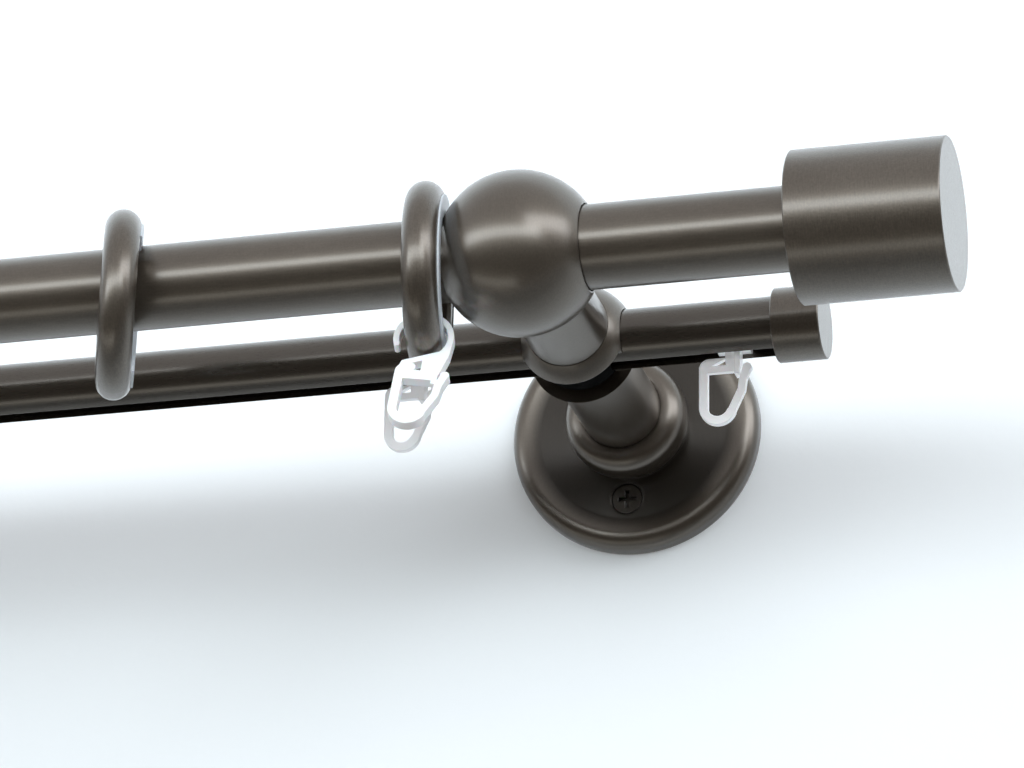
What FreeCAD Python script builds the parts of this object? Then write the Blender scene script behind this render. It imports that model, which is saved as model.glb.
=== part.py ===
import FreeCAD, Part
import math
import os

# Double curtain pole. A round front pole and a slotted rear rail lie one behind the other on two
# wall brackets. The origin is the centre of the right wall plate's back face. +X runs along the
# poles to the right, +Y points into the wall, +Z is up. All sizes are in millimetres.

# Layout
POLE_LENGTH = 800.0             # front pole, end to end
POLE_FROM_WALL = 147.5          # wall to the axis of the front pole
RAIL_FROM_WALL = 78.0           # wall to the axis of the rear rail
POLE_PAST_BRACKET = 97.5        # bracket centre to the end of the front pole
RAIL_PAST_BRACKET = 73.0        # bracket centre to the end of the rear rail

# Front pole
POLE_DIAMETER = 25.0
POLE_WALL = 1.2

# Rear rail: an extruded tube with a runner track along its underside
RAIL_DIAMETER = 18.0
RAIL_WALL = 1.1
SLOT_WIDTH = 6.2
TRACK_WIDTH = 9.4
TRACK_HEIGHT = 4.2
TRACK_FLOOR = 2.0               # outside of the rail to the face that the runners hang on
TRACK_WALL = 1.1

# Wall plate with its collar
PLATE_DIAMETER = 79.0
PLATE_RIM_HEIGHT = 3.0          # straight part of the rim
PLATE_RIDGE_HEIGHT = 7.5
PLATE_RIDGE_INSET = 4.6         # rim to the crest of the ridge
PLATE_DISH_INSET = 9.4          # rim to the foot of the ridge on the inside
PLATE_DISH_HEIGHT = 7.1
PLATE_FACE_HEIGHT = 8.4         # face of the plate where it meets the collar
COLLAR_DIAMETER = 37.9
COLLAR_FOOT_INSET = 1.9
COLLAR_HEIGHT = 22.9
COLLAR_WIDEST = 17.2
COLLAR_LIP = 1.0
SOCKET_FLOOR = 9.5              # wall to the end of the stem
PLATE_BACK_RECESS_DIAMETER = 15.0
PLATE_BACK_RECESS_DEPTH = 5.0

# Wall screws and the screw that holds the stem
SCREW_CIRCLE_DIAMETER = 47.2
SCREW_COUNT = 2
SCREW_CIRCLE_TURN = 4.0         # degrees that the lowest screw sits to the left
SCREW_DIAMETER = 4.6            # over the thread
SCREW_SHANK_DIAMETER = 4.0
SCREW_SHANK_IN_WALL = 2.0
SCREW_HEAD_DIAMETER = 9.6
SCREW_HEAD_HEIGHT = 2.7
SCREW_HEAD_DEPTH = 0.5          # how far the head lies under the plate's face
SCREW_IN_WALL = 32.0
SCREW_POINT = 6.0
SCREW_HOLE_CLEARANCE = 0.25
RECESS_SPAN = 5.8
RECESS_SLOT = 1.4
RECESS_DEPTH = 1.9
STEM_SCREW_DIAMETER = 6.0
STEM_SCREW_HEAD_DIAMETER = 10.0
STEM_SCREW_HEAD_HEIGHT = 3.6
STEM_SCREW_REACH = 15.0         # thread inside the stem
STEM_SCREW_KEY = 4.0

# Stem, arm and the two balls
STEM_DIAMETER = 25.0
RAIL_BALL_DIAMETER = 36.0
POLE_BALL_DIAMETER = 49.0
SEAT_LIP = 0.15                 # how far a ball's flat stands out past the stem or arm
MOUTH_LIP = 0.4                 # flat ring round each mouth of a bore
RAIL_BORE_CLEARANCE = 0.2
POLE_BORE_CLEARANCE = 0.35
OPENING_FRONT = 7.6             # underside opening, measured forward from the rail's axis
OPENING_BACK = 7.0
OPENING_TOP = 7.0               # below the rail's axis
SADDLE_INSET = 4.0              # saddle under the ball's surface
SADDLE_CLEARANCE = 0.1
STEM_SPIGOT_DIAMETER = 10.0
STEM_SPIGOT_LENGTH = 2.6
ARM_SPIGOT_DIAMETER = 12.0
ARM_SPIGOT_LENGTH = 6.5
SPIGOT_CLEARANCE = 0.05
SPIGOT_END_GAP = 0.3
END_CHAMFER = 0.4
SOCKET_CLEARANCE = 0.08

# Lock screws in the top of each ball
POLE_LOCK_DIAMETER = 5.0
RAIL_LOCK_DIAMETER = 4.0
LOCK_CLEARANCE = 0.05
LOCK_SINK = 1.6                 # how far the screw lies under the ball's surface
LOCK_KEY_SHARE = 0.5            # width across the key socket over the screw's diameter
LOCK_KEY_DEPTH = 2.5

# End cap of the front pole and the plug that holds it
CAP_DIAMETER = 45.0
CAP_LENGTH = 45.5
CAP_WALL = 1.5
CAP_OVERLAP = 15.0              # length of the pole inside the cap
CAP_HOLE_CLEARANCE = 0.15
CAP_EDGE_CHAMFER = 0.35
PLUG_CLEARANCE = 0.1
PLUG_REACH = 20.0               # length of the plug inside the pole
PLUG_FLANGE = 4.0
PLUG_WAIST_DIAMETER = 26.0

# End cap of the rear rail
RAIL_CAP_DIAMETER = 22.6
RAIL_CAP_LENGTH = 14.7
RAIL_CAP_OVERLAP = 11.6
RAIL_CAP_CLEARANCE = 0.1
RAIL_CAP_CHAMFER = 0.35

# Curtain rings: a ring of round bar, turned out inside to seat a split plastic liner. The liner has
# a floor under the bar and a flange that lies against the bar on one side.
RING_DIAMETER = 56.6
RING_BAR_DIAMETER = 10.8
LINER_BORE = 35.9
LINER_FLOOR = 1.05
LINER_FLANGE_FACE = 5.75        # ring's middle plane to the outside of the flange
LINER_FLANGE = 0.85
LINER_FLANGE_DIAMETER = 48.6
LINER_OPEN_EDGE = 4.2           # ring's middle plane to the edge without a flange
LINER_CORNER = 1.5              # bevel between floor and flange
LINER_EDGE_BEVEL = 0.5
LINER_SEAT_GAP = 0.02
LINER_ARC = 215.0               # degrees of the ring that the liner covers
LINER_STARTS = (-185.0, 20.0, 70.0, -190.0, 100.0, 140.0)   # degrees from the bottom towards the wall
RING_REST_GAP = 0.3             # least gap over the pole, where the ring hangs
RING_1_FROM_BRACKET = 27.6      # the two outermost rings, each measured from its own bracket
RING_2_FROM_BRACKET = 122.4
RING_TURNS = (9.5, 19.0, -6.0, 8.0, -11.0, -9.0)    # degrees about the upright
RING_LEANS = (0.0, 1.7, 0.0, 0.0, 0.0, 0.0)         # degrees, top of the ring to the right
RING_HAS_HOOK = (True, False, True, True, True, True)

# Hook outline, shared by the ring hooks and the rail runners. It is a flat bar bent into a loop.
BAR_WIDTH = 2.7
LOOP_BACK = 6.65                # hook's datum to the centre line of the loop's back
LOOP_TOP = 1.65                 # centre line of the top below the datum
LOOP_TOP_END = 3.5              # hook's datum to the end of the loop's top
LOOP_SHOULDER = 1.7
LOOP_DEPTH = 20.15              # datum to the centre line of the bend
BEND_RADIUS = 4.4
TONGUE_LEAN = 25.0              # degrees from upright
TONGUE_LENGTH = 7.6
TONGUE_WIDTH = 2.3
KNEE_OUT = 0.4
KNEE_RISE = 3.3
TIP_OUT = 1.3
TIP_RISE = 3.7
TIP_RADIUS = 1.35
CROSS_BAR_TOP = 2.65            # below the datum
STOP_PLACE = 3.0                # hook's datum to the near side of the stop
STOP_THICKNESS = 1.7
STOP_DROP = 1.2                 # below the cross bar

# Ring hook: a clip round the bar of the ring runs down into the loop as one bent bar
HOOK_THICKNESS = 3.4
HOOK_PLACE = -14.0              # degrees from the ring's bottom towards the wall
HOOK_HANG_ANGLE = 7.0
HOOK_CROSS_BAR = 3.2
CLIP_BORE_RADIUS = 7.05
CLIP_THICKNESS = 1.8
CLIP_START = 200.0              # degrees, from the right over the top
CLIP_END = -42.0
CLIP_TO_LOOP_X = 1.6            # clip's centre to the loop's datum
CLIP_TO_LOOP_Z = 9.1
CLIP_HEEL_X = -4.3              # where the bar turns down into the loop's back
CLIP_HEEL_Z = -9.3
WEB_SHOULDER = 10.3             # clip's centre to the web's outer corner
WEB_SHOULDER_ANGLE = -35.0
WEB_INNER_EDGE = 1.0            # clip's centre to the web's edge on the small hole

# Rail runners
RUNNER_THICKNESS = 1.9
RUNNER_CROSS_BAR = 2.1
RUNNER_TOP_GAP = 0.3            # underside of the rail to the top of the hook
RUNNER_NECK_LENGTH = 4.7
RUNNER_HEAD_LENGTH = 10.0
RUNNER_HEAD_WIDTH = 8.6
RUNNER_HEAD_HEIGHT = 1.7
RUNNER_REST_GAP = 0.05
RUNNER_STOP_WIDTH = 4.2
RUNNER_HOLE_LEFT = 4.4          # from the datum, three-cornered hole over the cross bar
RUNNER_HOLE_RIGHT = 0.2
RUNNER_HOLE_TOP = 0.5
RUNNER_OUTSIDE_BRACKET = 45.7   # outermost runners
RUNNER_INSIDE_BRACKET = 52.0    # next runners

# Worked-out sizes
POLE_RADIUS = POLE_DIAMETER / 2
RAIL_RADIUS = RAIL_DIAMETER / 2
STEM_RADIUS = STEM_DIAMETER / 2
POLE_AXIS_Y = -POLE_FROM_WALL
RAIL_AXIS_Y = -RAIL_FROM_WALL
BRACKET_SPACING = POLE_LENGTH - 2 * POLE_PAST_BRACKET
BRACKETS = {"right": 0.0, "left": -BRACKET_SPACING}
RAIL_BALL_RADIUS = RAIL_BALL_DIAMETER / 2
POLE_BALL_RADIUS = POLE_BALL_DIAMETER / 2
SEAT_RADIUS = STEM_RADIUS + SEAT_LIP
RAIL_BALL_FLAT = math.sqrt(RAIL_BALL_RADIUS ** 2 - SEAT_RADIUS ** 2)
POLE_BALL_FLAT = math.sqrt(POLE_BALL_RADIUS ** 2 - SEAT_RADIUS ** 2)
RAIL_BORE_RADIUS = RAIL_RADIUS + RAIL_BORE_CLEARANCE
POLE_BORE_RADIUS = POLE_RADIUS + POLE_BORE_CLEARANCE
SCREW_CIRCLE_RADIUS = SCREW_CIRCLE_DIAMETER / 2
RING_BAR_RADIUS = RING_BAR_DIAMETER / 2
RING_BAR_CIRCLE = (RING_DIAMETER - RING_BAR_DIAMETER) / 2
LINER_SEAT = LINER_BORE / 2 + LINER_FLOOR
LINER_RECESS = LINER_FLANGE_FACE - LINER_FLANGE
ORIGIN = FreeCAD.Vector(0, 0, 0)
X_AXIS = FreeCAD.Vector(1, 0, 0)
Y_AXIS = FreeCAD.Vector(0, 1, 0)
Z_AXIS = FreeCAD.Vector(0, 0, 1)


def cylinder(radius, length, start, direction):
    return Part.makeCylinder(radius, length, start, direction)


def box(low, high):
    """Box between two opposite corners."""
    size = [b - a for a, b in zip(low, high)]
    return Part.makeBox(size[0], size[1], size[2], FreeCAD.Vector(*low))


def turned(points, axis_start, direction, side):
    """Solid of revolution from (radius, distance) points joined by straight lines."""
    rim = [axis_start + side * radius + direction * distance for radius, distance in points]
    outline = Part.makePolygon(rim + [rim[0]])
    return Part.Face(outline).revolve(axis_start, direction, 360)


def hex_socket(across, depth, mouth, direction):
    """Six-sided key socket cut inwards from its mouth."""
    corner = across / math.sqrt(3)
    flat = FreeCAD.Vector(direction.y, direction.z, direction.x)
    points = []
    for step in range(7):
        turn = FreeCAD.Rotation(direction, 60 * step)
        points.append(mouth + turn.multVec(flat) * corner)
    return Part.Face(Part.makePolygon(points)).extrude(direction * depth)


def front_pole():
    """Round steel tube."""
    start = FreeCAD.Vector(POLE_PAST_BRACKET - POLE_LENGTH, POLE_AXIS_Y, 0)
    tube = cylinder(POLE_RADIUS, POLE_LENGTH, start, X_AXIS)
    return tube.cut(cylinder(POLE_RADIUS - POLE_WALL, POLE_LENGTH, start, X_AXIS))


def rear_rail():
    """Extruded tube with a slot along its underside and a runner track above the slot."""
    length = BRACKET_SPACING + 2 * RAIL_PAST_BRACKET
    left = -BRACKET_SPACING - RAIL_PAST_BRACKET
    right = left + length
    start = FreeCAD.Vector(left, RAIL_AXIS_Y, 0)
    floor = -RAIL_RADIUS + TRACK_FLOOR
    ceiling = floor + TRACK_HEIGHT
    half_block = TRACK_WIDTH / 2 + TRACK_WALL
    chamber = cylinder(RAIL_RADIUS - RAIL_WALL, length, start, X_AXIS)
    block = box((left, RAIL_AXIS_Y - half_block, -RAIL_RADIUS),
                (right, RAIL_AXIS_Y + half_block, ceiling + TRACK_WALL))
    chamber = chamber.cut(block)
    track = box((left, RAIL_AXIS_Y - TRACK_WIDTH / 2, floor),
                (right, RAIL_AXIS_Y + TRACK_WIDTH / 2, ceiling))
    slot = box((left, RAIL_AXIS_Y - SLOT_WIDTH / 2, -RAIL_DIAMETER),
               (right, RAIL_AXIS_Y + SLOT_WIDTH / 2, floor))
    return cylinder(RAIL_RADIUS, length, start, X_AXIS).cut([chamber, track.fuse(slot)])


def plate_section():
    """Half section of the wall plate and its collar, as a face in the XY plane."""
    rim = PLATE_DIAMETER / 2
    collar = COLLAR_DIAMETER / 2
    bore = STEM_RADIUS + SOCKET_CLEARANCE
    recess = PLATE_BACK_RECESS_DIAMETER / 2
    ridge = rim - PLATE_RIDGE_INSET
    dish = rim - PLATE_DISH_INSET

    def at(radius, height):
        return FreeCAD.Vector(radius, -height, 0)

    def on_round(centre, across, along, degrees):
        """Point on a round with its own reach across and along the axis."""
        turn = math.radians(degrees)
        return at(centre[0] + across * math.cos(turn), centre[1] + along * math.sin(turn))

    shoulder_across = PLATE_RIDGE_INSET
    shoulder_along = PLATE_RIDGE_HEIGHT - PLATE_RIM_HEIGHT
    shoulder_middle = on_round((ridge, PLATE_RIM_HEIGHT), shoulder_across, shoulder_along, 45)
    dish_middle = at((ridge + dish) / 2, PLATE_DISH_HEIGHT + (PLATE_RIDGE_HEIGHT - PLATE_DISH_HEIGHT) / 3)
    lip = bore + COLLAR_LIP
    crown_along = COLLAR_HEIGHT - COLLAR_WIDEST
    crown_middle = on_round((lip, COLLAR_WIDEST), collar - lip, crown_along, 45)
    foot = collar - COLLAR_FOOT_INSET
    waist_middle = on_round((foot, COLLAR_WIDEST), COLLAR_FOOT_INSET,
                            PLATE_FACE_HEIGHT - COLLAR_WIDEST, 45)
    edges = [
        Part.LineSegment(at(0, PLATE_BACK_RECESS_DEPTH), at(recess, PLATE_BACK_RECESS_DEPTH)),
        Part.LineSegment(at(recess, PLATE_BACK_RECESS_DEPTH), at(recess, 0)),
        Part.LineSegment(at(recess, 0), at(rim, 0)),
        Part.LineSegment(at(rim, 0), at(rim, PLATE_RIM_HEIGHT)),
        Part.Arc(at(rim, PLATE_RIM_HEIGHT), shoulder_middle, at(ridge, PLATE_RIDGE_HEIGHT)),
        Part.Arc(at(ridge, PLATE_RIDGE_HEIGHT), dish_middle, at(dish, PLATE_DISH_HEIGHT)),
        Part.LineSegment(at(dish, PLATE_DISH_HEIGHT), at(foot, PLATE_FACE_HEIGHT)),
        Part.Arc(at(foot, PLATE_FACE_HEIGHT), waist_middle, at(collar, COLLAR_WIDEST)),
        Part.Arc(at(collar, COLLAR_WIDEST), crown_middle, at(lip, COLLAR_HEIGHT)),
        Part.LineSegment(at(lip, COLLAR_HEIGHT), at(bore, COLLAR_HEIGHT)),
        Part.LineSegment(at(bore, COLLAR_HEIGHT), at(bore, SOCKET_FLOOR)),
        Part.LineSegment(at(bore, SOCKET_FLOOR), at(0, SOCKET_FLOOR)),
        Part.LineSegment(at(0, SOCKET_FLOOR), at(0, PLATE_BACK_RECESS_DEPTH)),
    ]
    return Part.Face(Part.Wire([edge.toShape() for edge in edges]))


def screw_places(x):
    """Wall screw centres, counted round from the lowest one."""
    places = []
    for index in range(SCREW_COUNT):
        turn = 2 * math.pi * index / SCREW_COUNT - math.radians(SCREW_CIRCLE_TURN)
        places.append((x + SCREW_CIRCLE_RADIUS * math.sin(turn), -SCREW_CIRCLE_RADIUS * math.cos(turn)))
    return places


def face_height(radius):
    """Height of the plate's dished face over the wall at a radius."""
    outer = PLATE_DIAMETER / 2 - PLATE_DISH_INSET
    inner = COLLAR_DIAMETER / 2 - COLLAR_FOOT_INSET
    share = (outer - radius) / (outer - inner)
    return PLATE_DISH_HEIGHT + share * (PLATE_FACE_HEIGHT - PLATE_DISH_HEIGHT)


HEAD_TOP = face_height(SCREW_CIRCLE_RADIUS) - SCREW_HEAD_DEPTH


def countersink(x, z, spare):
    """Hole for a wall screw: a shank bore, a cone and a mouth that opens on the plate's face."""
    shank = SCREW_DIAMETER / 2 + spare
    head = SCREW_HEAD_DIAMETER / 2 + spare
    mouth = PLATE_FACE_HEIGHT + spare
    seat = HEAD_TOP - SCREW_HEAD_HEIGHT
    profile = [(0, 0), (shank, 0), (shank, seat), (head, HEAD_TOP), (head, mouth), (0, mouth)]
    return turned(profile, FreeCAD.Vector(x, 0, z), -Y_AXIS, X_AXIS)


def wall_plate(x):
    plate = plate_section().revolve(ORIGIN, Y_AXIS, 360)
    plate.translate(FreeCAD.Vector(x, 0, 0))
    holes = [countersink(hole_x, hole_z, SCREW_HOLE_CLEARANCE) for hole_x, hole_z in screw_places(x)]
    start = FreeCAD.Vector(x, 0, 0)
    holes.append(cylinder(STEM_SCREW_DIAMETER / 2 + SCREW_HOLE_CLEARANCE, SOCKET_FLOOR, start, -Y_AXIS))
    return plate.cut(holes)


def cross_recess(x, z):
    """Cross recess for a screwdriver."""
    top = -HEAD_TOP
    arms = []
    for half_x, half_z in ((RECESS_SPAN / 2, RECESS_SLOT / 2), (RECESS_SLOT / 2, RECESS_SPAN / 2)):
        arms.append(box((x - half_x, top, z - half_z), (x + half_x, top + RECESS_DEPTH, z + half_z)))
    return arms[0].fuse(arms[1])


def wall_screws(x):
    """Countersunk screws that go through the plate into the wall."""
    thread = SCREW_DIAMETER / 2
    shank = SCREW_SHANK_DIAMETER / 2
    head = SCREW_HEAD_DIAMETER / 2
    seat = HEAD_TOP - SCREW_HEAD_HEIGHT
    profile = [(0, -SCREW_IN_WALL), (thread, SCREW_POINT - SCREW_IN_WALL),
               (thread, -SCREW_SHANK_IN_WALL), (shank, -SCREW_SHANK_IN_WALL), (shank, seat),
               (head, HEAD_TOP), (0, HEAD_TOP)]
    screws = []
    for screw_x, screw_z in screw_places(x):
        screw = turned(profile, FreeCAD.Vector(screw_x, 0, screw_z), -Y_AXIS, X_AXIS)
        screws.append(screw.cut(cross_recess(screw_x, screw_z)))
    return Part.Compound(screws)


def stem_screw(x):
    """Cap screw in the back of the plate that pulls the stem into its socket."""
    base = FreeCAD.Vector(x, -PLATE_BACK_RECESS_DEPTH + STEM_SCREW_HEAD_HEIGHT, 0)
    head = cylinder(STEM_SCREW_HEAD_DIAMETER / 2, STEM_SCREW_HEAD_HEIGHT, base, -Y_AXIS)
    length = SOCKET_FLOOR - PLATE_BACK_RECESS_DEPTH + STEM_SCREW_HEAD_HEIGHT + STEM_SCREW_REACH
    shank = cylinder(STEM_SCREW_DIAMETER / 2, length, base, -Y_AXIS)
    key = hex_socket(STEM_SCREW_KEY, STEM_SCREW_HEAD_HEIGHT / 2, base, -Y_AXIS)
    return head.fuse(shank).removeSplitter().cut(key)


def bar_with_spigots(x, start, end, back_spigot, front_spigot):
    """Round bar along -Y with a turned spigot at an end that has a (radius, length) for one."""
    profile = [(0, start), (STEM_RADIUS - END_CHAMFER, start), (STEM_RADIUS, start + END_CHAMFER),
               (STEM_RADIUS, end - END_CHAMFER), (STEM_RADIUS - END_CHAMFER, end), (0, end)]
    bar = turned(profile, FreeCAD.Vector(x, 0, 0), -Y_AXIS, X_AXIS)
    if back_spigot:
        radius, length = back_spigot
        bar = bar.fuse(cylinder(radius, length, FreeCAD.Vector(x, -start, 0), Y_AXIS))
    radius, length = front_spigot
    bar = bar.fuse(cylinder(radius, length, FreeCAD.Vector(x, -end, 0), -Y_AXIS))
    return bar.removeSplitter()


def stem(x):
    """Bar between the wall plate and the rail's ball."""
    end = RAIL_FROM_WALL - RAIL_BALL_FLAT
    bar = bar_with_spigots(x, SOCKET_FLOOR, end, None, (STEM_SPIGOT_DIAMETER / 2, STEM_SPIGOT_LENGTH))
    radius = STEM_SCREW_DIAMETER / 2 + SPIGOT_CLEARANCE
    depth = STEM_SCREW_REACH + SPIGOT_END_GAP
    return bar.cut(cylinder(radius, depth, FreeCAD.Vector(x, -SOCKET_FLOOR, 0), -Y_AXIS))


def arm(x):
    """Bar between the two balls."""
    start = RAIL_FROM_WALL + RAIL_BALL_FLAT
    end = POLE_FROM_WALL - POLE_BALL_FLAT
    return bar_with_spigots(x, start, end, (STEM_SPIGOT_DIAMETER / 2, STEM_SPIGOT_LENGTH),
                            (ARM_SPIGOT_DIAMETER / 2, ARM_SPIGOT_LENGTH))


def ball_with_bore(x, axis_y, radius, bore):
    """Ball with a bore along X and a flat at each mouth of the bore."""
    centre = FreeCAD.Vector(x, axis_y, 0)
    flat = math.sqrt(radius ** 2 - (bore + MOUTH_LIP) ** 2)
    ball = Part.makeSphere(radius, centre)
    ball = ball.common(box((x - flat, axis_y - radius, -radius), (x + flat, axis_y + radius, radius)))
    return ball.cut(cylinder(bore, 2 * radius, centre - X_AXIS * radius, X_AXIS))


def lock_hole(x, axis_y, radius, lock_diameter):
    start = FreeCAD.Vector(x, axis_y, 0)
    return cylinder(lock_diameter / 2 + LOCK_CLEARANCE, radius, start, Z_AXIS)


def spigot_hole(x, y, direction, diameter, length):
    radius = diameter / 2 + SPIGOT_CLEARANCE
    return cylinder(radius, length + SPIGOT_END_GAP, FreeCAD.Vector(x, y, 0), direction)


def rail_holder(x):
    """Ball that carries the rear rail, open underneath where its saddle sits."""
    ball = ball_with_bore(x, RAIL_AXIS_Y, RAIL_BALL_RADIUS, RAIL_BORE_RADIUS)
    low = (x - RAIL_BALL_RADIUS, RAIL_AXIS_Y - RAIL_BALL_FLAT, -RAIL_BALL_RADIUS)
    high = (x + RAIL_BALL_RADIUS, RAIL_AXIS_Y + RAIL_BALL_FLAT, RAIL_BALL_RADIUS)
    ball = ball.common(box(low, high))
    opening = box((x - RAIL_BALL_RADIUS, RAIL_AXIS_Y - OPENING_FRONT, -RAIL_BALL_DIAMETER),
                  (x + RAIL_BALL_RADIUS, RAIL_AXIS_Y + OPENING_BACK, -OPENING_TOP))
    cuts = [
        opening,
        lock_hole(x, RAIL_AXIS_Y, RAIL_BALL_RADIUS, RAIL_LOCK_DIAMETER),
        spigot_hole(x, RAIL_AXIS_Y - RAIL_BALL_FLAT, Y_AXIS, STEM_SPIGOT_DIAMETER, STEM_SPIGOT_LENGTH),
        spigot_hole(x, RAIL_AXIS_Y + RAIL_BALL_FLAT, -Y_AXIS, STEM_SPIGOT_DIAMETER, STEM_SPIGOT_LENGTH),
    ]
    return ball.cut(cuts)


def rail_saddle(x):
    """Plastic saddle in the underside of the ball, hollowed to the rail."""
    centre = FreeCAD.Vector(x, RAIL_AXIS_Y, 0)
    body = Part.makeSphere(RAIL_BALL_RADIUS - SADDLE_INSET, centre)
    slab = box((x - RAIL_BALL_RADIUS, RAIL_AXIS_Y - OPENING_FRONT + SADDLE_CLEARANCE, -RAIL_BALL_RADIUS),
               (x + RAIL_BALL_RADIUS, RAIL_AXIS_Y + OPENING_BACK - SADDLE_CLEARANCE,
                -OPENING_TOP - SADDLE_CLEARANCE))
    body = body.common(slab)
    seat = cylinder(RAIL_RADIUS + SADDLE_CLEARANCE / 2, 2 * RAIL_BALL_RADIUS,
                    centre - X_AXIS * RAIL_BALL_RADIUS, X_AXIS)
    return body.cut(seat)


def pole_holder(x):
    """Ball that carries the front pole."""
    ball = ball_with_bore(x, POLE_AXIS_Y, POLE_BALL_RADIUS, POLE_BORE_RADIUS)
    low = (x - POLE_BALL_RADIUS, POLE_AXIS_Y - POLE_BALL_RADIUS, -POLE_BALL_RADIUS)
    high = (x + POLE_BALL_RADIUS, POLE_AXIS_Y + POLE_BALL_FLAT, POLE_BALL_RADIUS)
    ball = ball.common(box(low, high))
    cuts = [
        lock_hole(x, POLE_AXIS_Y, POLE_BALL_RADIUS, POLE_LOCK_DIAMETER),
        spigot_hole(x, POLE_AXIS_Y + POLE_BALL_FLAT, -Y_AXIS, ARM_SPIGOT_DIAMETER, ARM_SPIGOT_LENGTH),
    ]
    return ball.cut(cuts)


def lock_screw(x, axis_y, ball_radius, tube_radius, diameter):
    """Headless screw in the top of a ball, tightened down on the tube under it."""
    start = FreeCAD.Vector(x, axis_y, tube_radius)
    length = ball_radius - LOCK_SINK - tube_radius
    body = cylinder(diameter / 2, length, start, Z_AXIS)
    key = hex_socket(diameter * LOCK_KEY_SHARE, LOCK_KEY_DEPTH, start + Z_AXIS * length, -Z_AXIS)
    return body.cut(key)


def end_place(side, past_bracket):
    """Bracket end as a start point on the X axis and the outward direction."""
    outward = 1 if side == "right" else -1
    return BRACKETS[side] + outward * past_bracket, X_AXIS * outward


def pole_cap(side):
    """Thin-walled round cap over the end of the front pole."""
    mouth, outward = end_place(side, POLE_PAST_BRACKET - CAP_OVERLAP)
    hole = POLE_RADIUS + CAP_HOLE_CLEARANCE
    outside = CAP_DIAMETER / 2
    inside = outside - CAP_WALL
    bevel = CAP_EDGE_CHAMFER
    profile = [(hole, 0), (outside - bevel, 0), (outside, bevel), (outside, CAP_LENGTH - bevel),
               (outside - bevel, CAP_LENGTH), (0, CAP_LENGTH), (0, CAP_LENGTH - CAP_WALL),
               (inside, CAP_LENGTH - CAP_WALL), (inside, CAP_WALL), (hole, CAP_WALL)]
    return turned(profile, FreeCAD.Vector(mouth, POLE_AXIS_Y, 0), outward, Z_AXIS)


def pole_plug(side):
    """Plastic plug: a spigot in the pole and a spool that fills the cap."""
    end, outward = end_place(side, POLE_PAST_BRACKET)
    spool = CAP_LENGTH - CAP_OVERLAP - CAP_WALL
    flange = CAP_DIAMETER / 2 - CAP_WALL - PLUG_CLEARANCE
    waist = PLUG_WAIST_DIAMETER / 2
    spigot = POLE_RADIUS - POLE_WALL - PLUG_CLEARANCE
    profile = [(0, -PLUG_REACH), (spigot - END_CHAMFER, -PLUG_REACH), (spigot, END_CHAMFER - PLUG_REACH),
               (spigot, 0), (flange, 0), (flange, PLUG_FLANGE), (waist, PLUG_FLANGE),
               (waist, spool - PLUG_FLANGE), (flange, spool - PLUG_FLANGE), (flange, spool), (0, spool)]
    return turned(profile, FreeCAD.Vector(end, POLE_AXIS_Y, 0), outward, Z_AXIS)


def rail_cap(side):
    """Cup over the end of the rear rail."""
    mouth, outward = end_place(side, RAIL_PAST_BRACKET - RAIL_CAP_OVERLAP)
    bore = RAIL_RADIUS + RAIL_CAP_CLEARANCE
    outside = RAIL_CAP_DIAMETER / 2
    bevel = RAIL_CAP_CHAMFER
    profile = [(bore, 0), (outside - bevel, 0), (outside, bevel), (outside, RAIL_CAP_LENGTH - bevel),
               (outside - bevel, RAIL_CAP_LENGTH), (0, RAIL_CAP_LENGTH), (0, RAIL_CAP_OVERLAP),
               (bore, RAIL_CAP_OVERLAP)]
    return turned(profile, FreeCAD.Vector(mouth, RAIL_AXIS_Y, 0), outward, Z_AXIS)


def ring_places():
    """Ring centres, from the right bracket to the left one."""
    first = BRACKETS["right"] - RING_1_FROM_BRACKET
    second = BRACKETS["right"] - RING_2_FROM_BRACKET
    last = BRACKETS["left"] + RING_1_FROM_BRACKET
    steps = len(RING_TURNS) - 2
    return [first] + [second + (last - second) * index / steps for index in range(steps + 1)]


def runner_places():
    """Runner datums: one outside and one inside each bracket, and one in the middle."""
    right, left = BRACKETS["right"], BRACKETS["left"]
    return [right + RUNNER_OUTSIDE_BRACKET, right - RUNNER_INSIDE_BRACKET, (right + left) / 2,
            left + RUNNER_INSIDE_BRACKET, left - RUNNER_OUTSIDE_BRACKET]


def ring_sag(turn, lean):
    """How far a ring's centre hangs below the pole's axis. A ring that is turned or leans to one
    side meets the pole with the edge of its liner first, so it hangs a little higher."""
    room = LINER_BORE / 2 - POLE_RADIUS - RING_REST_GAP - LINER_FLANGE_FACE * math.sin(math.radians(lean))
    edge = LINER_FLANGE_FACE * math.sin(math.radians(turn))
    return math.sqrt(room ** 2 - edge ** 2)


def hang_on_pole(shape, x, turn, lean):
    """Move a piece that was made on a ring about the origin to its place on the pole."""
    shape.rotate(ORIGIN, Y_AXIS, lean)
    shape.rotate(ORIGIN, Z_AXIS, turn)
    shape.translate(FreeCAD.Vector(x, POLE_AXIS_Y, -ring_sag(turn, lean)))
    return shape


def ring_section_point(across, radius):
    """Point of a ring's section, in the plane through its axis and its lowest point."""
    return FreeCAD.Vector(across, 0, -radius)


def bar_point(bar_radius, angle):
    """Point on a round about the bar's centre, counted from the flange side towards the outside."""
    turn = math.radians(angle)
    return ring_section_point(bar_radius * math.cos(turn), RING_BAR_CIRCLE + bar_radius * math.sin(turn))


def bar_angle_at_radius(bar_radius, radius):
    """Angle on the flange side where a round about the bar's centre has a distance to the ring's axis."""
    return math.degrees(math.asin((radius - RING_BAR_CIRCLE) / bar_radius))


def bar_angle_at_recess(bar_radius, across):
    """Angle inside the bar's centre where a round about it has a distance to the ring's plane."""
    return -math.degrees(math.acos(across / bar_radius))


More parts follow.
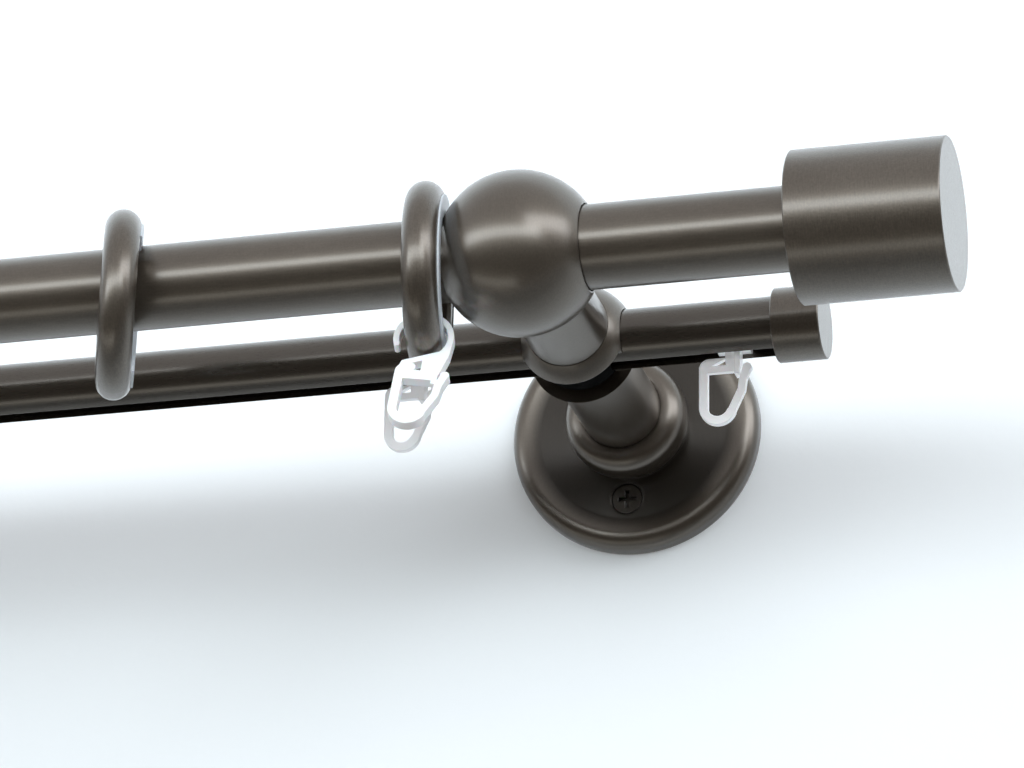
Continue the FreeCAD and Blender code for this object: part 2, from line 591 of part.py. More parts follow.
def ring_shell():
    """Metal ring about the origin: round bar, bored out and faced on one side for the liner."""
    flange = LINER_FLANGE_DIAMETER / 2
    seat = bar_angle_at_radius(RING_BAR_RADIUS, LINER_SEAT)
    corner = bar_angle_at_recess(RING_BAR_RADIUS, LINER_RECESS)
    outer = bar_angle_at_radius(RING_BAR_RADIUS, flange)
    far_seat = 180 - seat

    def on_bar(angle):
        return bar_point(RING_BAR_RADIUS, angle)

    face_foot = ring_section_point(LINER_RECESS, flange)
    edges = [
        Part.LineSegment(on_bar(far_seat), on_bar(seat)),
        Part.Arc(on_bar(seat), on_bar((seat + corner) / 2), on_bar(corner)),
        Part.LineSegment(on_bar(corner), face_foot),
        Part.LineSegment(face_foot, on_bar(outer)),
        Part.Arc(on_bar(outer), on_bar((outer + far_seat) / 2), on_bar(far_seat)),
    ]
    section = Part.Face(Part.Wire([edge.toShape() for edge in edges]))
    return section.revolve(ORIGIN, X_AXIS, 360)


def ring_liner(start):
    """Plastic strip about the origin, bent round inside a ring, with a flange on one side."""
    bore = LINER_BORE / 2
    seat = LINER_SEAT - LINER_SEAT_GAP
    recess = LINER_RECESS + LINER_SEAT_GAP
    flange = LINER_FLANGE_DIAMETER / 2 - LINER_SEAT_GAP
    hollow = RING_BAR_RADIUS + LINER_SEAT_GAP
    first = bar_angle_at_recess(hollow, recess)
    last = bar_angle_at_radius(hollow, seat)
    points = [
        bar_point(hollow, last),
        ring_section_point(-LINER_OPEN_EDGE, seat),
        ring_section_point(-LINER_OPEN_EDGE, bore + LINER_EDGE_BEVEL),
        ring_section_point(LINER_EDGE_BEVEL - LINER_OPEN_EDGE, bore),
        ring_section_point(LINER_FLANGE_FACE - LINER_CORNER, bore),
        ring_section_point(LINER_FLANGE_FACE, bore + LINER_CORNER),
        ring_section_point(LINER_FLANGE_FACE, flange),
        ring_section_point(recess, flange),
        bar_point(hollow, first),
    ]
    edges = [Part.LineSegment(a, b).toShape() for a, b in zip(points, points[1:])]
    middle = bar_point(hollow, (first + last) / 2)
    edges.append(Part.Arc(points[-1], middle, points[0]).toShape())
    section = Part.Face(Part.Wire(edges))
    section.rotate(ORIGIN, X_AXIS, start)
    return section.revolve(ORIGIN, X_AXIS, LINER_ARC)


def in_plane(x, z):
    """Point in the XZ plane, where the hooks are drawn."""
    return FreeCAD.Vector(x, 0, z)


def polar(radius, degrees):
    turn = math.radians(degrees)
    return in_plane(radius * math.cos(turn), radius * math.sin(turn))


def stroke(edges, width):
    """Face of a bar with round ends that follows a bent path in the XZ plane."""
    return Part.Face(Part.Wire(edges).makeOffset2D(width / 2))


def extruded(face, thickness):
    """Solid with the given thickness about the XZ plane."""
    face.translate(Y_AXIS * (-thickness / 2))
    return face.extrude(Y_AXIS * thickness)


def prism(corners, thickness):
    """Flat-sided plate between corners in the XZ plane."""
    return extruded(Part.Face(Part.makePolygon(corners + [corners[0]])), thickness)


def hook_plate(thickness, cross_bar):
    """Loop, tongue, cross bar and stop about the hook's datum, with a flat to each side."""
    bend_centre = in_plane(BEND_RADIUS - LOOP_BACK, BEND_RADIUS - LOOP_DEPTH)
    bend_end = bend_centre + polar(BEND_RADIUS, -TONGUE_LEAN)
    knee = bend_end + polar(TONGUE_LENGTH, 90 - TONGUE_LEAN)
    wrist = knee + in_plane(KNEE_OUT, KNEE_RISE)
    tip = wrist + in_plane(TIP_OUT, TIP_RISE)
    shoulder_centre = in_plane(LOOP_SHOULDER - LOOP_BACK, -LOOP_TOP - LOOP_SHOULDER)
    shoulder_start = shoulder_centre + polar(LOOP_SHOULDER, 90)
    shoulder_end = shoulder_centre + polar(LOOP_SHOULDER, 180)
    bend_start = bend_centre + polar(BEND_RADIUS, 180)
    loop = [
        Part.LineSegment(in_plane(-LOOP_TOP_END, -LOOP_TOP), shoulder_start).toShape(),
        Part.Arc(shoulder_start, shoulder_centre + polar(LOOP_SHOULDER, 135), shoulder_end).toShape(),
        Part.LineSegment(shoulder_end, bend_start).toShape(),
        Part.Arc(bend_start, bend_centre + polar(BEND_RADIUS, -90), bend_end).toShape(),
    ]
    tongue = [
        Part.LineSegment(bend_end, knee).toShape(),
        Part.LineSegment(knee, wrist).toShape(),
        Part.LineSegment(wrist, tip).toShape(),
    ]
    ball = Part.Face(Part.Wire(Part.makeCircle(TIP_RADIUS, tip, Y_AXIS)))
    half = thickness / 2
    foot = -CROSS_BAR_TOP - cross_bar
    bar = box((-LOOP_BACK, -half, foot), (STOP_PLACE, half, -CROSS_BAR_TOP))
    stop = box((STOP_PLACE, -half, foot - STOP_DROP), (STOP_PLACE + STOP_THICKNESS, half, -CROSS_BAR_TOP))
    faces = [stroke(loop, BAR_WIDTH), stroke(tongue, TONGUE_WIDTH), ball]
    plates = [extruded(face, thickness) for face in faces]
    return plates[0].fuse(plates[1:] + [bar, stop])


def ring_hook():
    """Plastic hook, snapped round the bar of a ring about the origin."""
    middle = CLIP_BORE_RADIUS + CLIP_THICKNESS / 2
    outside = CLIP_BORE_RADIUS + CLIP_THICKNESS
    datum = in_plane(CLIP_TO_LOOP_X, -CLIP_TO_LOOP_Z)
    clip_end = polar(middle, CLIP_END)
    heel = in_plane(CLIP_HEEL_X, CLIP_HEEL_Z)
    back = datum + in_plane(-LOOP_BACK, -LOOP_TOP - LOOP_SHOULDER)
    path = [
        Part.Arc(polar(middle, CLIP_START), polar(middle, (CLIP_START + CLIP_END) / 2), clip_end).toShape(),
        Part.LineSegment(clip_end, heel).toShape(),
        Part.LineSegment(heel, back).toShape(),
    ]
    share = (clip_end.x - WEB_INNER_EDGE) / (clip_end.x - heel.x)
    web_top = clip_end + (heel - clip_end) * share
    web_foot = datum.z - CROSS_BAR_TOP - HOOK_CROSS_BAR / 2
    web = prism([polar(outside, 0), polar(WEB_SHOULDER, WEB_SHOULDER_ANGLE),
                 in_plane(datum.x + STOP_PLACE + STOP_THICKNESS, web_foot),
                 in_plane(WEB_INNER_EDGE, web_foot), web_top, clip_end], HOOK_THICKNESS)
    plate = hook_plate(HOOK_THICKNESS, HOOK_CROSS_BAR)
    plate.translate(datum)
    hook = plate.fuse([extruded(stroke(path, CLIP_THICKNESS), HOOK_THICKNESS), web]).removeSplitter()
    hook.rotate(ORIGIN, Y_AXIS, HOOK_HANG_ANGLE)
    hook.translate(in_plane(0, -RING_BAR_CIRCLE))
    hook.rotate(ORIGIN, X_AXIS, HOOK_PLACE)
    return hook


def rail_runner(x):
    """Plastic runner: a head in the track, a neck through the slot and a hook below."""
    floor = TRACK_FLOOR + RUNNER_REST_GAP
    half = RUNNER_THICKNESS / 2
    neck_end = STOP_PLACE + STOP_THICKNESS
    neck_start = neck_end - RUNNER_NECK_LENGTH
    head_start = (neck_start + neck_end - RUNNER_HEAD_LENGTH) / 2
    head = box((head_start, -RUNNER_HEAD_WIDTH / 2, floor),
               (head_start + RUNNER_HEAD_LENGTH, RUNNER_HEAD_WIDTH / 2, floor + RUNNER_HEAD_HEIGHT))
    neck = box((neck_start, -half, -CROSS_BAR_TOP), (neck_end, half, floor))
    stop = box((STOP_PLACE, -RUNNER_STOP_WIDTH / 2, -CROSS_BAR_TOP - RUNNER_CROSS_BAR - STOP_DROP),
               (neck_end, RUNNER_STOP_WIDTH / 2, floor))
    web = box((-LOOP_TOP_END, -half, -CROSS_BAR_TOP), (neck_start, half, -RUNNER_TOP_GAP))
    hole = prism([in_plane(-RUNNER_HOLE_LEFT, -CROSS_BAR_TOP), in_plane(RUNNER_HOLE_RIGHT, -CROSS_BAR_TOP),
                  in_plane(neck_start, -RUNNER_HOLE_TOP)], RUNNER_THICKNESS)
    plate = hook_plate(RUNNER_THICKNESS, RUNNER_CROSS_BAR)
    runner = plate.fuse([head, neck, stop, web]).cut(hole).removeSplitter()
    runner.translate(FreeCAD.Vector(x, RAIL_AXIS_Y, -RAIL_RADIUS))
    return runner


def build():
    """Every named piece of the assembly."""
    pieces = {"front_pole": front_pole(), "rear_rail": rear_rail()}
    for side, x in BRACKETS.items():
        pieces["wall_plate_" + side] = wall_plate(x)
        pieces["wall_screws_" + side] = wall_screws(x)
        pieces["stem_screw_" + side] = stem_screw(x)
        pieces["stem_" + side] = stem(x)
        pieces["rail_holder_" + side] = rail_holder(x)
        pieces["rail_saddle_" + side] = rail_saddle(x)
        pieces["rail_lock_screw_" + side] = lock_screw(x, RAIL_AXIS_Y, RAIL_BALL_RADIUS, RAIL_RADIUS,
                                                      RAIL_LOCK_DIAMETER)
        pieces["arm_" + side] = arm(x)
        pieces["pole_holder_" + side] = pole_holder(x)
        pieces["pole_lock_screw_" + side] = lock_screw(x, POLE_AXIS_Y, POLE_BALL_RADIUS, POLE_RADIUS,
                                                      POLE_LOCK_DIAMETER)
        pieces["pole_cap_" + side] = pole_cap(side)
        pieces["pole_plug_" + side] = pole_plug(side)
        pieces["rail_cap_" + side] = rail_cap(side)
    rings = zip(ring_places(), RING_TURNS, RING_LEANS, LINER_STARTS, RING_HAS_HOOK)
    for number, (x, turn, lean, start, has_hook) in enumerate(rings, start=1):
        pieces["curtain_ring_%d" % number] = hang_on_pole(ring_shell(), x, turn, lean)
        pieces["ring_liner_%d" % number] = hang_on_pole(ring_liner(start), x, turn, lean)
        if has_hook:
            pieces["ring_hook_%d" % number] = hang_on_pole(ring_hook(), x, turn, lean)
    for number, x in enumerate(runner_places(), start=1):
        pieces["rail_runner_%d" % number] = rail_runner(x)
    return pieces


os.makedirs("parts", exist_ok=True)
for name, shape in build().items():
    shape.exportStep("parts/%s.step" % name)
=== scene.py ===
import math

import bpy
from mathutils import Matrix, Vector

# Looks of a double curtain pole on its wall brackets. Metres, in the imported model's own frame:
# +X along the poles to the right, +Y into the wall, +Z up.

# Camera, worked out from the edges of both poles in the photograph. Angles in degrees
IMAGE_WIDTH = 1024
SENSOR_WIDTH = 36.0             # millimetres
FOCAL_PIXELS = 5564.8
CAMERA_PLACE = Vector((0.38334, -1.57956, -0.64608))
CAMERA_YAW = 15.049
CAMERA_PITCH = 22.204
CAMERA_ROLL = 0.863
CLIP_START = 0.05
CLIP_END = 50.0

# Stage
WALL_BEHIND = 0.0003            # wall surface behind the plates' backs
WALL_REACH = 3.0                # to either side
WALL_TOP = 2.2
FLOOR_HEIGHT = -1.3
FLOOR_DEPTH = 0.55              # forward from the wall
SHORT_RAY = 0.001               # shorter rays pass the stage, so that the plates' backs are lit

# Stage paint. All but the camera see a share of it, given as (height, share) low down and high up.
# The camera sees all of it, or the share where that is above 1, and the lift is added to that
STAGE_PAINT = (0.80, 0.833, 0.853)
WALL_SHADE = ((-0.45, 0.50), (0.05, 1.12))
WALL_LIFT = 0.13
FLOOR_SHADE = ((0.0, 0.34), (1.0, 0.34))
FLOOR_LIFT = 0.2
PAINT_RELIEF = 0.0006
PAINT_BUMP = 0.25

# Room brightness by the angle up from straight ahead of the wall, in degrees
ROOM = (
    (-180, (0.45, 0.47, 0.49)),
    (-72, (0.30, 0.29, 0.28)),
    (-54, (0.12, 0.11, 0.10)),
    (-22, (0.08, 0.07, 0.06)),
    (-4, (0.20, 0.19, 0.18)),
    (20, (0.70, 0.70, 0.72)),
    (60, (0.74, 0.74, 0.75)),
    (90, (0.78, 0.80, 0.82)),
    (180, (0.78, 0.80, 0.82)),
)

# Long soft light ahead of the wall: its span from left to right, its height above level, and how
# far its ends and its long edges fade either way, in degrees
KEY_COLOUR = (4.9, 5.3, 5.5)
KEY_SPAN = (-62, 42)
KEY_HEIGHT = (1.5, 14.5)
KEY_FADES = (6.0, 3.0)

# Soft light to the right, higher than the first
SIDE_COLOUR = (3.9, 4.1, 4.3)
SIDE_SPAN = (22, 84)
SIDE_HEIGHT = (13, 32)
SIDE_FADES = (6.0, 6.0)

# Narrow light low down, from the left to just past the middle. Its turn is an angle as in ROOM
STRIP_COLOUR = (0.98, 1.00, 0.94)
STRIP_SPAN = (-100, 8)
STRIP_TURN = (-68, -56)
STRIP_FADES = (5.0, 2.5)

# Noise patterns, as (scale, detail)
PAINT_NOISE = (160.0, 6.0)
STREAK_NOISE = (1.0, 3.0)
CLOUD_NOISE = (45.0, 4.0)
PEEL_NOISE = (1500.0, 3.0)
FLOW_NOISE = (220.0, 3.0)
FINE_NOISE = (1800.0, 2.0)
TONE_STOPS = (0.3, 0.7)         # noise values at which a deep and a pale tone are reached

# Axes that the metal's grain follows, as (y, z) of a line along X
POLE_AXIS = (-0.1475, 0.0)
RAIL_AXIS = (-0.078, 0.0)
RING_AXIS = (-0.1475, -0.005)

# How fast the grain changes along X, with the turn about the axis, and outward from it. On drawn
# metal it doesn't change outward
TURNED_GRAIN = (3200.0, 7.0, 3200.0)
DRAWN_GRAIN = (180.0, 32.0)

# Bronze lacquer and its clear coat
LACQUER_DEEP = (0.096, 0.078, 0.060)
LACQUER_PALE = (0.110, 0.091, 0.071)
LACQUER_METALLIC = 0.75
LACQUER_BUMP = 0.6
DEPTH_PER_ROUGHNESS = 5.0       # change of colour by the streaks, over their change of roughness
COAT_ROUGHNESS = 0.22
COAT_IOR = 1.5

# Wall plates: middle of the left one along X, and where the painted shade in the dish fades out: between
# two radii at the ridge, and between two distances from the wall at the foot of the collar. In the
# dish, colour and clear coat are cut to the last two shares, which paints shade there
LEFT_BRACKET = -0.605
DISH_RADIUS = (0.0295, 0.0350)
DISH_REACH = (0.0090, 0.0102)
DISH_PAINTED_SHADE = 0.30
DISH_SHADE_COAT = 0.42

# Plastics, each as its pale and its deep colour
WHITE = ((0.94, 0.945, 0.95), (0.90, 0.91, 0.92))
MILKY = ((0.93, 0.945, 0.96), (0.90, 0.92, 0.945))
LINER = ((0.60, 0.64, 0.68), (0.55, 0.59, 0.63))
BLACK = ((0.010, 0.010, 0.010), (0.006, 0.006, 0.006))
PLASTIC_EDGE = 0.0005
PLASTIC_RELIEF = 0.00002
PLASTIC_BUMP = 0.4
PLASTIC_VARIES = 0.05           # change of roughness either way
SCATTER_SCALE = 0.0015

EDGE_SAMPLES = 4                # rays that look for the edge that is softened


class Nodes:
    """Short calls for building the node tree of a material or a world."""

    def __init__(self, owner):
        owner.use_nodes = True
        self.tree = owner.node_tree
        self.tree.nodes.clear()

    def add(self, kind, **settings):
        node = self.tree.nodes.new(kind)
        for name, value in settings.items():
            setattr(node, name, value)
        return node

    def link(self, source, target):
        self.tree.links.new(source, target)

    def value(self, target, source):
        """Link the source to the target if it is a socket, and otherwise set the target to it."""
        if isinstance(source, bpy.types.NodeSocket):
            self.link(source, target)
        else:
            target.default_value = source

    def math(self, operation, first, second=0.0):
        node = self.add("ShaderNodeMath", operation=operation)
        self.value(node.inputs[0], first)
        self.value(node.inputs[1], second)
        return node.outputs[0]

    def length(self, first, second):
        """Distance of the point (first, second) from 0."""
        squares = [self.math("MULTIPLY", part, part) for part in (first, second)]
        return self.math("SQRT", self.math("ADD", *squares))

    def coordinates(self, kind="Object"):
        return self.add("ShaderNodeTexCoord").outputs[kind]

    def parts(self, vector):
        """X, Y and Z of a vector."""
        node = self.add("ShaderNodeSeparateXYZ")
        self.link(vector, node.inputs[0])
        return node.outputs

    def noise(self, vector, scale, detail):
        node = self.add("ShaderNodeTexNoise")
        node.inputs["Scale"].default_value = scale
        node.inputs["Detail"].default_value = detail
        self.link(vector, node.inputs["Vector"])
        return node.outputs["Fac"]

    def remap(self, value, start, end, low=0.0, high=1.0, kind="LINEAR"):
        """Map the range start..end to low..high, and hold what lies outside it."""
        node = self.add("ShaderNodeMapRange", interpolation_type=kind)
        limits = {"From Min": start, "From Max": end, "To Min": low, "To Max": high}
        for name, limit in limits.items():
            node.inputs[name].default_value = limit
        self.link(value, node.inputs["Value"])
        return node.outputs["Result"]

    def spread(self, factor, low, high):
        """Map a 0..1 factor to the range low..high."""
        return self.remap(factor, 0.0, 1.0, low, high)

    def ramp(self, factor, stops):
        """Colour by a 0..1 factor, from (position, colour) stops."""
        node = self.add("ShaderNodeValToRGB")
        elements = node.color_ramp.elements
        while len(elements) > 1:
            elements.remove(elements[-1])
        elements[0].position = stops[0][0]
        elements[0].color = (*stops[0][1], 1.0)
        for position, colour in stops[1:]:
            elements.new(position).color = (*colour, 1.0)
        self.link(factor, node.inputs["Fac"])
        return node.outputs["Color"]

    def tones(self, factor, deep, pale):
        """Deep where the factor is low, and pale where it is high."""
        return self.ramp(factor, tuple(zip(TONE_STOPS, (deep, pale))))

    def scaled(self, colour, share):
        """A colour times a share."""
        node = self.add("ShaderNodeVectorMath", operation="SCALE")
        self.value(node.inputs[0], colour)
        self.link(share, node.inputs["Scale"])
        return node.outputs[0]

    def soft_edges(self, radius):
        """A normal that rounds the edges by the radius."""
        node = self.add("ShaderNodeBevel", samples=EDGE_SAMPLES)
        node.inputs["Radius"].default_value = radius
        return node.outputs[0]

    def bump(self, height, relief, strength, normal=None):
        node = self.add("ShaderNodeBump")
        node.inputs["Distance"].default_value = relief
        node.inputs["Strength"].default_value = strength
        self.link(height, node.inputs["Height"])
        if normal is not None:
            self.link(normal, node.inputs["Normal"])
        return node.outputs["Normal"]

    def added(self, first, second):
        """Two shaders on top of each other."""
        node = self.add("ShaderNodeAddShader")
        self.link(first, node.inputs[0])
        self.link(second, node.inputs[1])
        return node.outputs[0]

    def mixed(self, factor, first, second):
        """The first shader where the factor is 0, and the second where it is 1."""
        node = self.add("ShaderNodeMixShader")
        self.link(factor, node.inputs["Fac"])
        self.link(first, node.inputs[1])
        self.link(second, node.inputs[2])
        return node.outputs[0]

    def finish(self, shader, kind="ShaderNodeOutputMaterial"):
        self.link(shader, self.add(kind).inputs["Surface"])


def add_camera():
    yaw, pitch, roll = (math.radians(a) for a in (CAMERA_YAW, CAMERA_PITCH, CAMERA_ROLL))
    ahead = math.cos(pitch)
    forward = Vector((-math.sin(yaw) * ahead, math.cos(yaw) * ahead, math.sin(pitch)))
    level = Vector((math.cos(yaw), math.sin(yaw), 0))
    upright = level.cross(forward)
    right = math.cos(roll) * level + math.sin(roll) * upright
    up = math.cos(roll) * upright - math.sin(roll) * level
    data = bpy.data.cameras.new("camera")
    data.sensor_width = SENSOR_WIDTH
    data.lens = FOCAL_PIXELS * SENSOR_WIDTH / IMAGE_WIDTH
    data.clip_start = CLIP_START
    data.clip_end = CLIP_END
    camera = bpy.data.objects.new("camera", data)
    turn = Matrix((right, up, -forward)).transposed().to_4x4()
    camera.matrix_world = Matrix.Translation(CAMERA_PLACE) @ turn
    bpy.context.scene.collection.objects.link(camera)
    bpy.context.scene.camera = camera


def between(n, angle, span, fade):
    """1 where the angle lies in the span, fading to 0 at its ends.

    The angle comes in radians, the span and the fade in degrees."""
    middle = (span[0] + span[1]) / 2
    half = (span[1] - span[0]) / 2
    away = n.math("ABSOLUTE", n.math("SUBTRACT", angle, math.radians(middle)))
    return n.remap(away, math.radians(half + fade), math.radians(half - fade), kind="SMOOTHSTEP")


def glow(n, colour, strength):
    """A background of one colour, times a strength. Each may be a socket."""
    node = n.add("ShaderNodeBackground")
    n.value(node.inputs["Color"], (*colour, 1.0) if isinstance(colour, tuple) else colour)
    n.value(node.inputs["Strength"], strength)
    return node.outputs[0]


def add_world():
    """The room with its three lights. The camera itself sees white paper."""
    world = bpy.data.worlds.new("studio")
    bpy.context.scene.world = world
    n = Nodes(world)
    parts = n.parts(n.coordinates("Generated"))
    ahead = n.math("MULTIPLY", parts["Y"], -1.0)
    turn = n.math("ARCTAN2", parts["Z"], ahead)
    sideways = n.math("ARCTAN2", parts["X"], ahead)
    height = n.math("ARCSINE", parts["Z"])
    factor = n.math("ADD", n.math("DIVIDE", turn, 2 * math.pi), 0.5)
    stops = [((degrees + 180) / 360, colour) for degrees, colour in ROOM]
    lights = glow(n, n.ramp(factor, stops), 1.0)
    for colour, span, rise, rise_span, (end_fade, edge_fade) in (
        (KEY_COLOUR, KEY_SPAN, height, KEY_HEIGHT, KEY_FADES),
        (SIDE_COLOUR, SIDE_SPAN, height, SIDE_HEIGHT, SIDE_FADES),
        (STRIP_COLOUR, STRIP_SPAN, turn, STRIP_TURN, STRIP_FADES),
    ):
        along = between(n, sideways, span, end_fade)
        share = n.math("MULTIPLY", along, between(n, rise, rise_span, edge_fade))
        lights = n.added(lights, glow(n, colour, share))
    paper = glow(n, (1.0, 1.0, 1.0), 1.0)
    rays = n.add("ShaderNodeLightPath")
    n.finish(n.mixed(rays.outputs["Is Camera Ray"], lights, paper), "ShaderNodeOutputWorld")


def stage_material(name, shade, lift):
    """Pale paint, seen from the front only. Short rays pass it too."""
    material = bpy.data.materials.new(name)
    n = Nodes(material)
    vector = n.coordinates()
    parts = n.parts(vector)
    (low, dim), (high, light) = shade
    rays = n.add("ShaderNodeLightPath")
    camera = rays.outputs["Is Camera Ray"]
    shown = n.math("MAXIMUM", camera, n.remap(parts["Z"], low, high, dim, light))
    paint = n.add("ShaderNodeBsdfDiffuse")
    n.link(n.scaled(STAGE_PAINT, shown), paint.inputs["Color"])
    n.link(n.bump(n.noise(vector, *PAINT_NOISE), PAINT_RELIEF, PAINT_BUMP), paint.inputs["Normal"])
    lit = n.add("ShaderNodeEmission")
    lit.inputs["Color"].default_value = (*STAGE_PAINT, 1.0)
    n.link(n.math("MULTIPLY", camera, lift), lit.inputs["Strength"])
    clear = n.add("ShaderNodeBsdfTransparent")
    facing = n.add("ShaderNodeNewGeometry")
    close = n.math("LESS_THAN", rays.outputs["Ray Length"], SHORT_RAY)
    passes = n.math("MAXIMUM", facing.outputs["Backfacing"], close)
    n.finish(n.mixed(passes, n.added(paint.outputs[0], lit.outputs[0]), clear.outputs[0]))
    return material


def add_sheet(name, corners, material):
    mesh = bpy.data.meshes.new(name)
    mesh.from_pydata(corners, [], [(0, 1, 2, 3)])
    mesh.materials.append(material)
    sheet = bpy.data.objects.new(name, mesh)
    bpy.context.scene.collection.objects.link(sheet)


def add_stage():
    """A wall that faces forward, and a floor that faces up and ends at the wall."""
    low, high = FLOOR_HEIGHT, WALL_TOP
    wall = WALL_BEHIND
    front = wall - FLOOR_DEPTH
    reach = WALL_REACH
    wall_corners = [(-reach, wall, low), (reach, wall, low), (reach, wall, high), (-reach, wall, high)]
    floor_corners = [(-reach, front, low), (reach, front, low), (reach, wall, low), (-reach, wall, low)]
    add_sheet("wall", wall_corners, stage_material("wall_paint", WALL_SHADE, WALL_LIFT))
    add_sheet("floor", floor_corners, stage_material("floor_paint", FLOOR_SHADE, FLOOR_LIFT))


def dish(n, parts):
    """1 in the hollow face of either wall plate, where shade is painted, and 0 elsewhere."""
    from_left = n.math("SUBTRACT", parts["X"], LEFT_BRACKET)
    nearer = n.math("MINIMUM", n.math("ABSOLUTE", parts["X"]), n.math("ABSOLUTE", from_left))
    radius = n.length(nearer, parts["Z"])
    reach = n.math("ABSOLUTE", parts["Y"])
    shares = [n.remap(distance, none, full, kind="SMOOTHSTEP")
              for distance, (full, none) in ((radius, DISH_RADIUS), (reach, DISH_REACH))]
    return n.math("MULTIPLY", *shares)


def lacquered_metal(name, axis, grain, tint_and_shade=1.0, roughness=0.34, soft_edge=0.00035, depth=0.45,
                    relief=0.00006, paint_dish_shade=False):
    """Dark bronze lacquer over metal, with grain about an axis.

    The depth is how much the grain changes the colour, and the relief is how far it stands out."""
    material = bpy.data.materials.new(name)
    n = Nodes(material)
    vector = n.coordinates()
    parts = n.parts(vector)
    across = n.math("SUBTRACT", parts["Y"], axis[0])
    over = n.math("SUBTRACT", parts["Z"], axis[1])
    measures = (parts["X"], n.math("ARCTAN2", over, across), n.length(across, over))
    marks = n.add("ShaderNodeCombineXYZ")
    for measure, rate, target in zip(measures, grain, marks.inputs):
        n.link(n.math("MULTIPLY", measure, rate), target)
    streaks = n.noise(marks.outputs[0], *STREAK_NOISE)
    texture = n.math("ADD", streaks, n.noise(vector, *PEEL_NOISE))
    level = n.spread(n.math("MULTIPLY", texture, 0.5), 1.0 - depth, 1.0 + depth)
    coat = 1.0
    # Painted shade in the plates' dish: darker colour and less clear coat
    if paint_dish_shade:
        share = dish(n, parts)
        level = n.math("MULTIPLY", level, n.spread(share, 1.0, DISH_PAINTED_SHADE))
        coat = n.spread(share, 1.0, DISH_SHADE_COAT)
    # This factor darkens the colour: the screws' own darker colour, and painted shade on the rail
    deep, pale = (tuple(part * tint_and_shade for part in tone) for tone in (LACQUER_DEEP, LACQUER_PALE))
    colour = n.tones(n.noise(vector, *CLOUD_NOISE), deep, pale)
    varies = depth / DEPTH_PER_ROUGHNESS
    edges = n.soft_edges(soft_edge)
    shader = n.add("ShaderNodeBsdfPrincipled")
    n.link(n.scaled(colour, level), shader.inputs["Base Color"])
    shader.inputs["Metallic"].default_value = LACQUER_METALLIC
    n.link(n.spread(streaks, roughness - varies, roughness + varies), shader.inputs["Roughness"])
    n.value(shader.inputs["Coat Weight"], coat)
    shader.inputs["Coat Roughness"].default_value = COAT_ROUGHNESS
    shader.inputs["Coat IOR"].default_value = COAT_IOR
    n.link(n.bump(texture, relief, LACQUER_BUMP, edges), shader.inputs["Normal"])
    n.link(edges, shader.inputs["Coat Normal"])
    n.finish(shader.outputs[0])
    return material


def moulded_plastic(name, pale, deep, roughness, scatter, gleam=0.5, passed=0.0):
    """Moulded plastic with a faint flow pattern and softened edges.

    Scatter is the share of the light that spreads inside it. Passed is a faint glow that stands for
    the light that comes through from behind."""
    material = bpy.data.materials.new(name)
    n = Nodes(material)
    vector = n.coordinates()
    fine = n.noise(vector, *FINE_NOISE)
    shader = n.add("ShaderNodeBsdfPrincipled")
    n.link(n.tones(n.noise(vector, *FLOW_NOISE), deep, pale), shader.inputs["Base Color"])
    rougher = n.spread(fine, roughness - PLASTIC_VARIES, roughness + PLASTIC_VARIES)
    n.link(rougher, shader.inputs["Roughness"])
    shader.inputs["Subsurface Weight"].default_value = scatter
    shader.inputs["Subsurface Scale"].default_value = SCATTER_SCALE
    shader.inputs["Specular IOR Level"].default_value = gleam
    shader.inputs["Emission Color"].default_value = (*pale, 1.0)
    shader.inputs["Emission Strength"].default_value = passed
    edges = n.soft_edges(PLASTIC_EDGE)
    n.link(n.bump(fine, PLASTIC_RELIEF, PLASTIC_BUMP, edges), shader.inputs["Normal"])
    n.finish(shader.outputs[0])
    return material


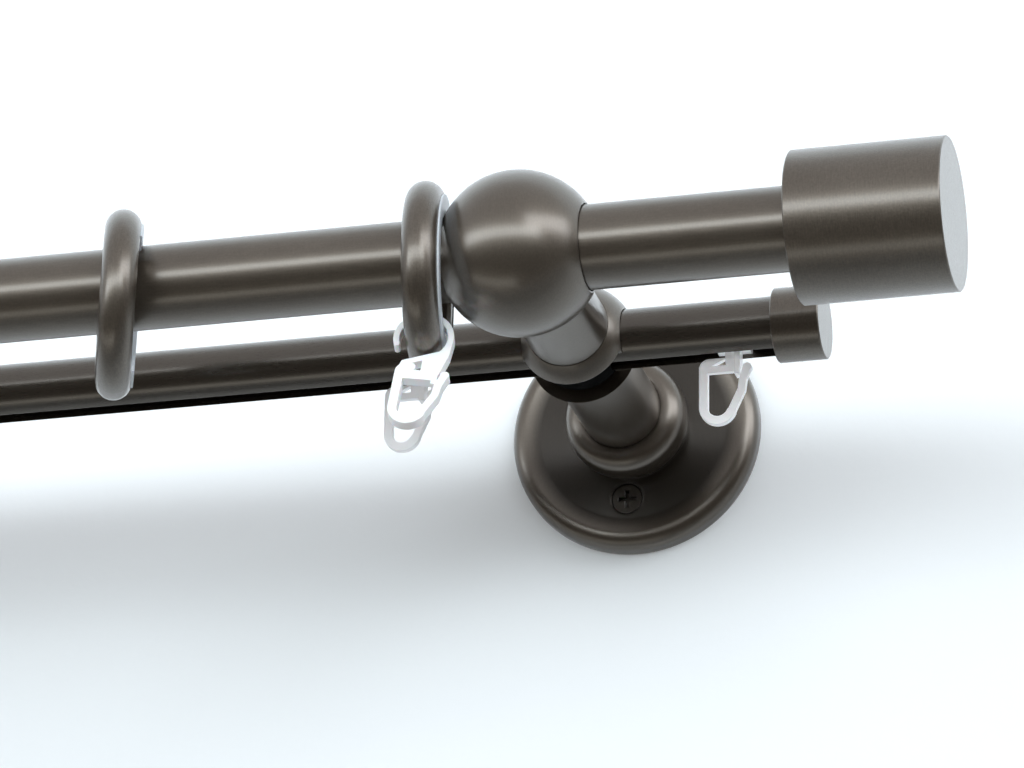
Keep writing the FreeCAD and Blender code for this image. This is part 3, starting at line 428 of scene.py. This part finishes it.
def dress_nodes():
    """Give each node the finish that the start of its name stands for."""
    pole_drawn = lacquered_metal("bronze_drawn_pole", POLE_AXIS, DRAWN_GRAIN, depth=0.30, relief=0.00002)
    # The rail's copy is darkened to 0.68: painted shade, as the front pole keeps light off the rail
    rail_drawn_shaded = lacquered_metal("bronze_drawn_rail_shaded", RAIL_AXIS, DRAWN_GRAIN, tint_and_shade=0.68, roughness=0.28,
                                 depth=0.12, relief=0.000003)
    turned = lacquered_metal("bronze_turned", POLE_AXIS, TURNED_GRAIN)
    ringed = lacquered_metal("bronze_ring", RING_AXIS, TURNED_GRAIN)
    cast = lacquered_metal("bronze_cast", RAIL_AXIS, TURNED_GRAIN, depth=0.25, relief=0.00003)
    # The wall plates' lacquer carries painted shade in the dish
    plate = lacquered_metal("bronze_plate", RAIL_AXIS, TURNED_GRAIN, roughness=0.30, soft_edge=0.0014,
                            depth=0.2, relief=0.00002, paint_dish_shade=True)
    screw = lacquered_metal("dark_screw", RAIL_AXIS, TURNED_GRAIN, tint_and_shade=0.45)
    white = moulded_plastic("white_plastic", *WHITE, roughness=0.32, scatter=0.25)
    milky = moulded_plastic("milky_plastic", *MILKY, roughness=0.30, scatter=0.10, passed=0.16)
    liner = moulded_plastic("liner_plastic", *LINER, roughness=0.34, scatter=0.05)
    black = moulded_plastic("black_plastic", *BLACK, roughness=0.6, scatter=0.0, gleam=0.0)
    finishes = (
        ("front_pole", pole_drawn), ("rear_rail", rail_drawn_shaded), ("rail_saddle", black),
        ("pole_plug", black), ("pole_cap", turned), ("rail_cap", turned), ("curtain_ring", ringed),
        ("ring_liner", liner), ("ring_hook", white), ("rail_runner", milky), ("wall_screws", screw),
        ("stem_screw", screw), ("rail_lock", screw), ("pole_lock", screw), ("wall_plate", plate),
        ("stem", cast), ("arm", cast), ("rail_holder", cast), ("pole_holder", cast),
    )
    for name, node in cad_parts.items():
        finish = next(material for start, material in finishes if name.startswith(start))
        node.data.materials.clear()
        node.data.materials.append(finish)


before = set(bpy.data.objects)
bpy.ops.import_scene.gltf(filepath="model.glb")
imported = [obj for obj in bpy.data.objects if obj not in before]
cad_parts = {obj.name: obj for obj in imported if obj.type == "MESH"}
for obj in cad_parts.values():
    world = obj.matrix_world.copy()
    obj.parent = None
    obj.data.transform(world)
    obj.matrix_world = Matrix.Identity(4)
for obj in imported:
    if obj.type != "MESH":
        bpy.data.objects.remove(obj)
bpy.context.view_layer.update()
bpy.context.scene.view_settings.view_transform = "Standard"
add_camera()
add_world()
add_stage()
dress_nodes()
